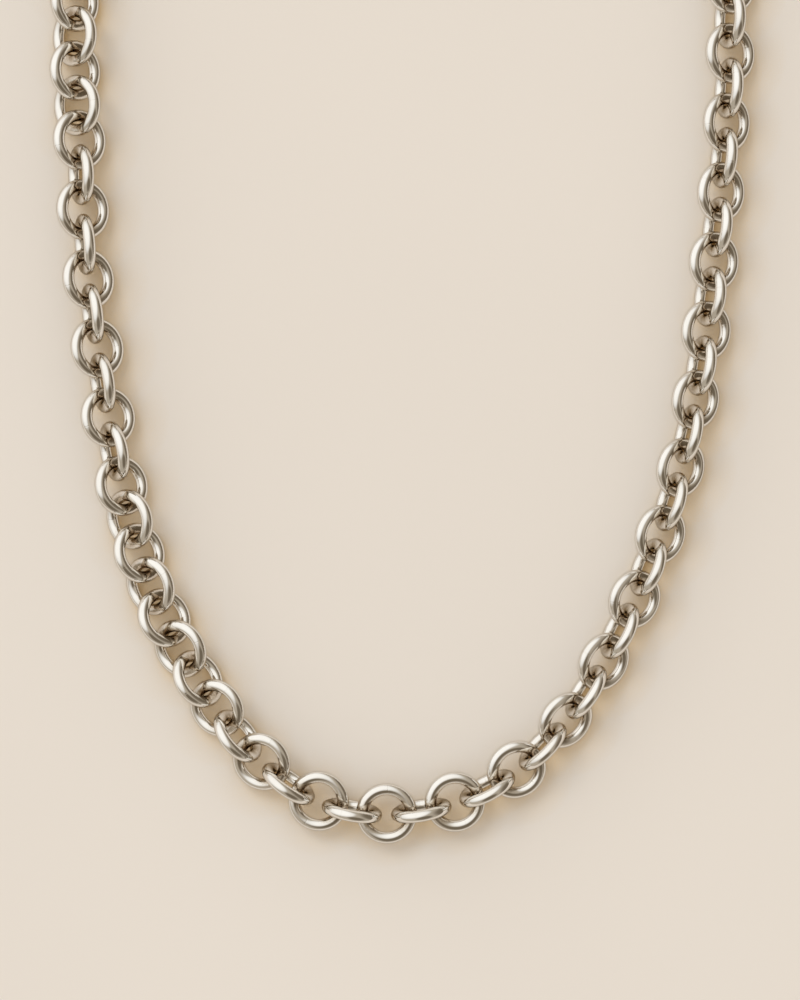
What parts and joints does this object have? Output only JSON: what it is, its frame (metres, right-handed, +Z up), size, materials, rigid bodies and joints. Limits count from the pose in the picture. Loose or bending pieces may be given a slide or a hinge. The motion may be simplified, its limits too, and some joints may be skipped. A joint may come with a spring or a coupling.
{
  "type": "rolo chain necklace",
  "caption": "Closed necklace chain of round wire links in a rolo pattern, polished silver, laid flat in an oval loop with a plain ring clasp at the back.",
  "frame": {"origin": "on the surface that the chain lies on, in the middle of the whole loop", "axes": "+X across the loop to the wearer's side that the picture shows on the right, +Y from the bottom link to the clasp, +Z up from the surface"},
  "size_m": [0.1058, 0.1862, 0.0091],
  "materials": {
    "links": "polished silver",
    "clasp": "polished silver"
  },
  "bodies": {
    "root": {"chain_left": "links", "chain_right": "links", "clasp": "clasp"}
  },
  "joints": []
}
